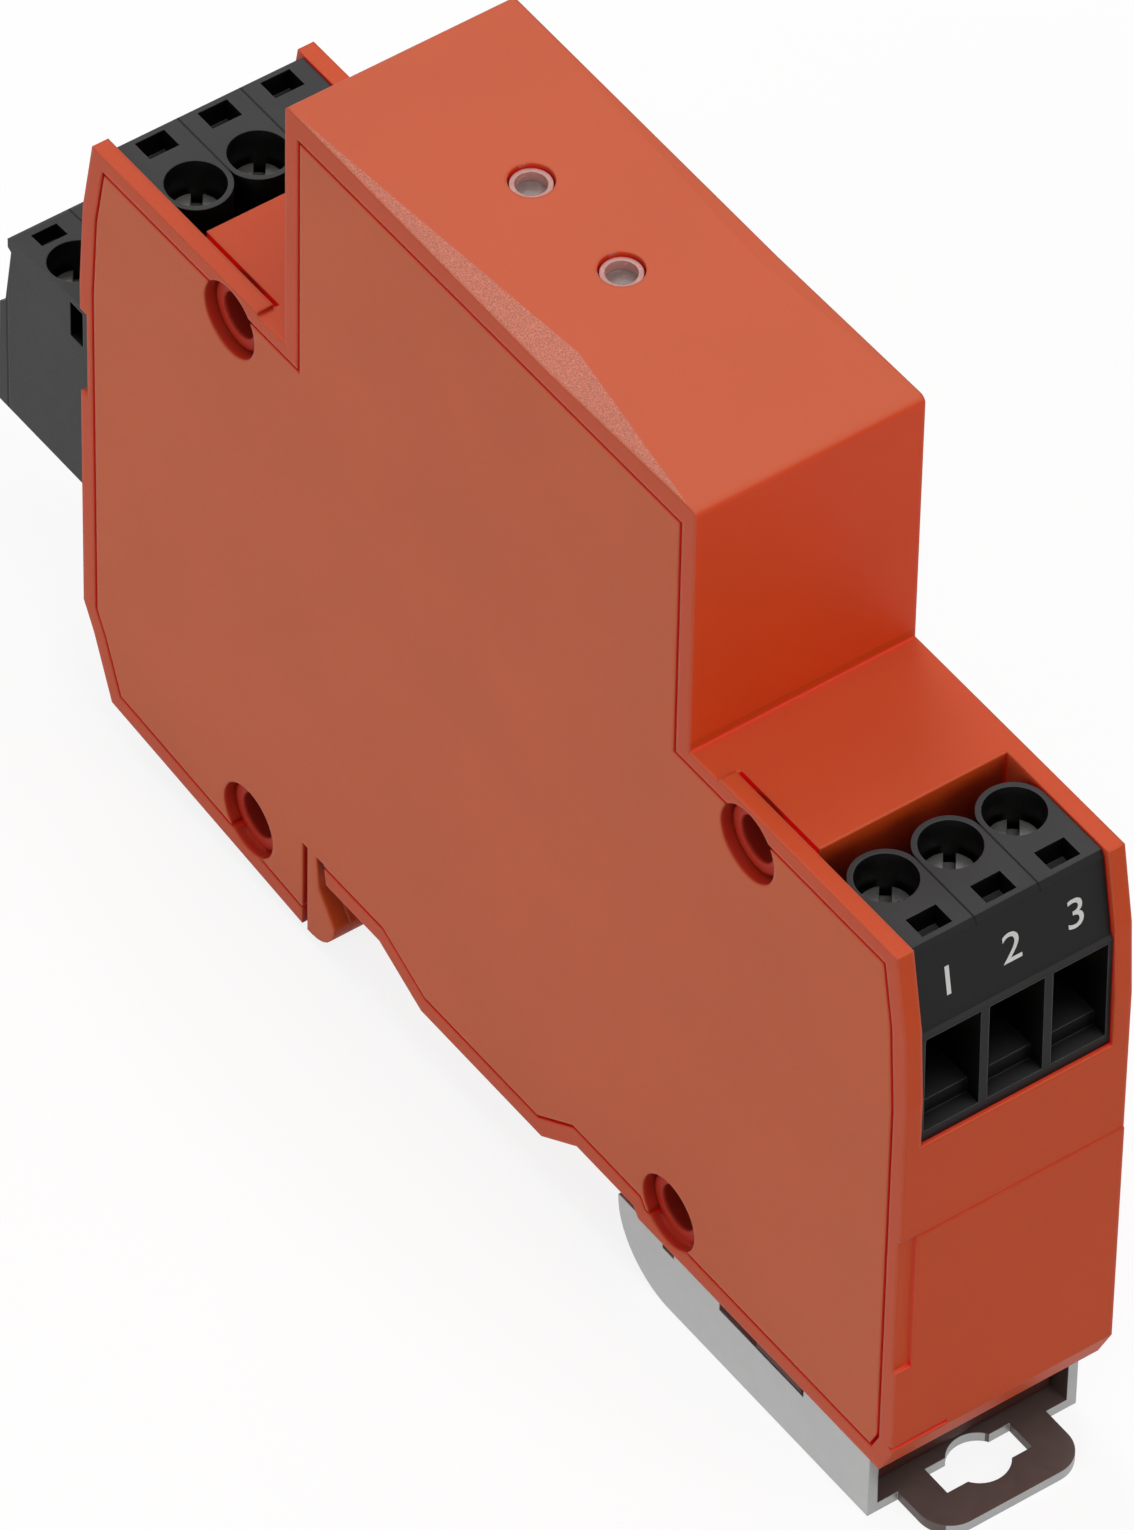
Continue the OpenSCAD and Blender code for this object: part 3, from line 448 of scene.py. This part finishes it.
def plated(name, colour, rough, metal=1.0):
    """Plated metal: fine pits, dull patches and softened edges."""
    mat, tree, bsdf, coords = blank(name)
    pits = noise(tree, coords, 0.12 * MM, 3)
    dull = noise(tree, coords, 2.2 * MM, 4)
    value = maths(tree, "ADD", spread(tree, dull, 0.9, 1.06), spread(tree, pits, -0.05, 0.05))
    blur = maths(tree, "ADD", spread(tree, dull, rough - 0.06, rough + 0.1), spread(tree, pits, -0.05, 0.05))
    feed(tree, bsdf, shade(tree, colour, value), blur)
    bsdf.inputs["Metallic"].default_value = metal
    rounded(tree, bsdf, soften(tree, 0.1 * MM), 0.2, 0.01 * MM, pits)
    return mat


def foot_steel(name):
    """Zinc-plated sheet: bright outside, duller on its cut edges, with painted shade inside the channel."""
    mat, tree, bsdf, coords = blank(name)
    drawn = add(tree, "Mapping", {"Vector": coords, "Scale": (1, 0.1, 1)}).outputs["Vector"]
    lines = noise(tree, drawn, 0.1 * MM, 3)
    dull = noise(tree, coords, 1.6 * MM, 4)
    n_x, _, n_z = axes(tree, face_normal(tree))
    x, _, z = axes(tree, coords)
    sideways = absolute(tree, n_x)
    channel_floor = both(tree, over(tree, n_z, 0.7), under(tree, z, FOOT_FLOOR_Z))
    channel_side = both(tree, over(tree, sideways, 0.7), under(tree, absolute(tree, x), FOOT_IN_X))
    # Painted shade inside the channel: darker colour and less metal.
    channel_shade = maths(tree, "MINIMUM", maths(tree, "ADD", channel_floor, channel_side), 1.0)
    cut = under(tree, maths(tree, "MAXIMUM", sideways, absolute(tree, n_z)), 0.9)
    colour = mix(tree, channel_shade, mix(tree, cut, FOOT_BRIGHT, FOOT_CUT), FOOT_CHANNEL_SHADE)
    value = maths(tree, "ADD", spread(tree, dull, 0.94, 1.05), spread(tree, lines, -0.04, 0.04))
    blur = maths(tree, "ADD", spread(tree, dull, 0.36, 0.48), spread(tree, lines, -0.04, 0.04))
    feed(tree, bsdf, shade(tree, colour, value), blur)
    tree.links.new(spread(tree, channel_shade, 0.9, 0.1, (0, 1)), bsdf.inputs["Metallic"])
    rounded(tree, bsdf, soften(tree, 0.12 * MM), 0.2, 0.01 * MM, lines)
    return mat


# Materials on the CAD nodes

def paint(mat, *names):
    for name in names:
        data = nodes[name].data
        data.materials.clear()
        data.materials.append(mat)


def each(kind):
    """The nodes of a kind that every pole of every block has."""
    return [f"{block}_{kind}_{pole}" for block in BLOCKS for pole in POLES]


paint(case_plastic("case_orange", CASE_ORANGE), "housing_shell")
# The cover gets its own paler orange: painted light on its left-facing side.
paint(case_plastic("cover_orange", COVER_LIT_ORANGE), "side_cover")
paint(block_plastic("block_black", BLOCK_TOP, BLOCK_SCREW_Y), "front_terminal_block", "rear_terminal_block")
paint(block_plastic("plug_black", PLUG_TOP, PLUG_SCREW_Y, PLUG_LINE_Y), "plug_body", "signal_header")
paint(plated("screw_nickel", srgb(164, 163, 160), rough=0.34, metal=0.9), *each("screw"))
paint(plated("clamp_zinc", srgb(190, 192, 194), rough=0.38), *each("clamp"))
paint(plated("contact_brass", srgb(206, 176, 112), rough=0.34),
      "front_contacts", "rear_contacts", "plug_contacts", "header_pins")
paint(foot_steel("foot_zinc"), "rail_foot")
paint(plated("spring_wire", srgb(170, 170, 168), rough=0.3), "foot_spring", "thermal_fuse")
paint(moulded("board_green", srgb(30, 92, 52), rough=0.35), "circuit_board")
paint(moulded("varistor_blue", srgb(46, 84, 160), rough=0.4), "varistor_1", "varistor_2")
paint(moulded("tube_ceramic", srgb(222, 216, 206), rough=0.3), "gas_tube")
paint(moulded("relay_black", srgb(28, 28, 30), rough=0.4), "signal_relay")
paint(moulded("lamp_green", srgb(60, 170, 84), rough=0.2), "led_1")
paint(moulded("lamp_red", srgb(190, 48, 38), rough=0.2), "led_2")
paint(pipe_plastic("pipe_clear"), "light_pipe_1", "light_pipe_2")


# Plain pole numbers printed on the slanted label faces

def numbers(name, end, first, ink):
    """Three numbers on the label face at one end, -1 for the near end and 1 for the far one."""
    up = Vector((0, -end * LABEL_UP[0], LABEL_UP[1]))
    right = Vector((-end, 0, 0))
    out = right.cross(up)
    turn = Matrix((right, up, out)).transposed().to_4x4()
    for pole in POLES:
        text = bpy.data.curves.new(f"{name}_{pole}", "FONT")
        text.body = str(first + pole - 1)
        text.size = DIGIT_SIZE
        text.extrude = INK_THICK
        text.align_x = text.align_y = "CENTER"
        text.materials.append(ink)
        obj = bpy.data.objects.new(f"{name}_{pole}", text)
        bpy.context.collection.objects.link(obj)
        place = Vector(((pole - 2) * PITCH, end * LABEL_Y, LABEL_Z)) + out * INK_LIFT
        obj.matrix_world = Matrix.Translation(place) @ turn
        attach(obj, "case")


number_ink = moulded("number_white", INK_WHITE, rough=0.5, edge=0.02 * MM)
numbers("front_number", -1, 1, number_ink)
numbers("rear_number", 1, 4, number_ink)


# Floor, light and camera

def seen_rays(tree):
    """1 for rays from the camera, and for those that shiny or clear surfaces send on."""
    rays = add(tree, "LightPath").outputs
    passed_on = maths(tree, "MAXIMUM", rays["Is Glossy Ray"], rays["Is Transmission Ray"])
    return maths(tree, "MAXIMUM", rays["Is Camera Ray"], passed_on)


def floor():
    """A pale floor that the camera sees as nearly white, with the object's shadow."""
    z = cad_box[0].z - FLOOR_GAP
    corners = [(x * FLOOR_HALF, y * FLOOR_HALF, z) for x, y in ((-1, -1), (1, -1), (1, 1), (-1, 1))]
    mesh = bpy.data.meshes.new("floor")
    mesh.from_pydata(corners, [], [(0, 1, 2, 3)])
    obj = bpy.data.objects.new("floor", mesh)
    bpy.context.collection.objects.link(obj)
    mat, tree, bsdf, coords = blank("floor_pale")
    seen = seen_rays(tree)
    pale = mix(tree, seen, FLOOR_LIT, FLOOR_SEEN)
    clouds = spread(tree, noise(tree, coords, 0.4, 2), 0.99, 1.01)
    tree.links.new(shade(tree, pale, clouds), bsdf.inputs["Base Color"])
    bsdf.inputs["Roughness"].default_value = 0.8
    white = add(tree, "Emission", {"Color": WHITE, "Strength": 1.0}).outputs["Emission"]
    share = maths(tree, "MULTIPLY", seen, 0.85)
    surface = add(tree, "MixShader", {0: share, 1: bsdf.outputs["BSDF"], 2: white}).outputs["Shader"]
    tree.links.new(surface, tree.nodes["Material Output"].inputs["Surface"])
    mesh.materials.append(mat)


def soft_box(name, place, size, power):
    light = bpy.data.lights.new(name, "AREA")
    light.shape = "DISK"
    light.size = size
    light.energy = power
    obj = bpy.data.objects.new(name, light)
    bpy.context.collection.objects.link(obj)
    obj.location = place
    obj.rotation_euler = (Vector(LIGHT_AIM) - Vector(place)).to_track_quat("-Z", "Y").to_euler()
    obj.visible_camera = False


def studio():
    """Soft lamps in a dim world, which the camera sees as white."""
    scene = bpy.context.scene
    scene.view_settings.view_transform = "Standard"
    world = bpy.data.worlds.new("studio")
    world.use_nodes = True
    tree = world.node_tree
    background = tree.nodes["Background"].inputs
    background["Color"].default_value = WHITE
    tree.links.new(spread(tree, seen_rays(tree), WORLD_LIGHT, 1.0, (0, 1)), background["Strength"])
    scene.world = world
    for lamp in LAMPS:
        soft_box(*lamp)


def camera():
    """The photograph's camera, fitted with the module's width."""
    data = bpy.data.cameras.new("camera")
    data.sensor_width = SENSOR
    data.lens = FOCAL_PX / PHOTO_HEIGHT_PX * SENSOR
    data.clip_start, data.clip_end = 0.05, 20
    obj = bpy.data.objects.new("camera", data)
    bpy.context.collection.objects.link(obj)
    look = (CAMERA_AIM - CAMERA_PLACE).to_track_quat("-Z", "Y").to_matrix()
    turn = look @ Matrix.Rotation(CAMERA_ROLL, 3, "Z")
    obj.matrix_world = Matrix.Translation(CAMERA_PLACE) @ turn.to_4x4()
    bpy.context.scene.camera = obj


floor()
studio()
camera()
